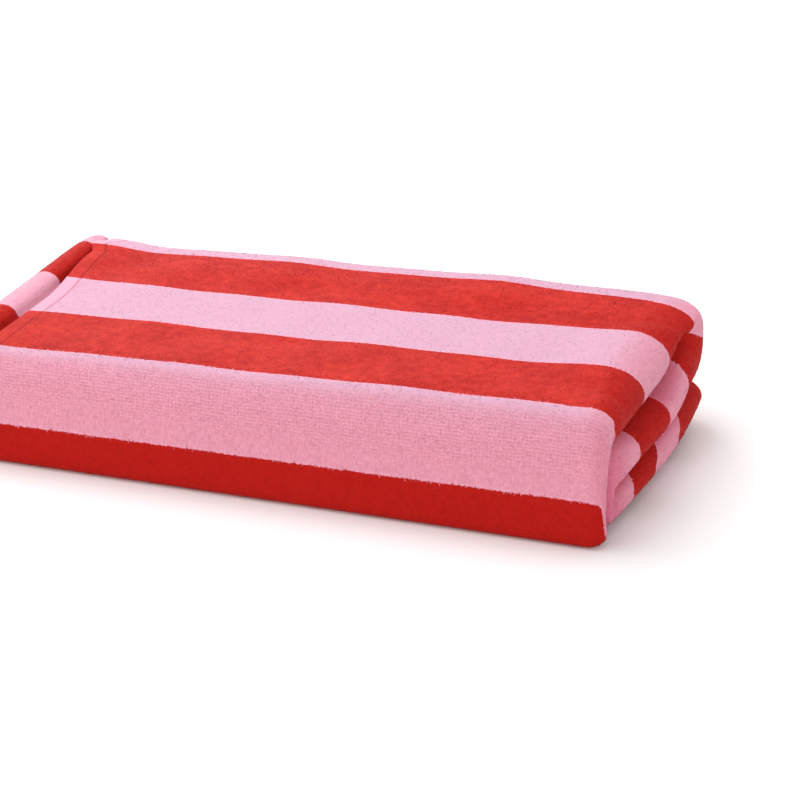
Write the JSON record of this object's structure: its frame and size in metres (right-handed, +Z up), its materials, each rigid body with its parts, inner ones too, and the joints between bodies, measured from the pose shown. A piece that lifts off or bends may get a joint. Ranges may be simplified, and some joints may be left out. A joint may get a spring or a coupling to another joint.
{
  "type": "beach towel",
  "caption": "Folded beach towel in wide red and pink stripes: soft velour cloth folded along and across to a flat packet, for drying off and lying on.",
  "frame": {"origin": "centre of the packet's footprint, on the surface it lies on", "axes": "+X along the stripes towards the end with the layered ridges, +Y from the front fold to the back with the selvages, +Z up"},
  "size_m": [0.4301, 0.2226, 0.0824],
  "materials": {
    "pile_cloth": "soft sheared pile, matt, woven in red and pink stripes"
  },
  "bodies": {
    "root": {"towel": "pile_cloth"}
  },
  "joints": []
}
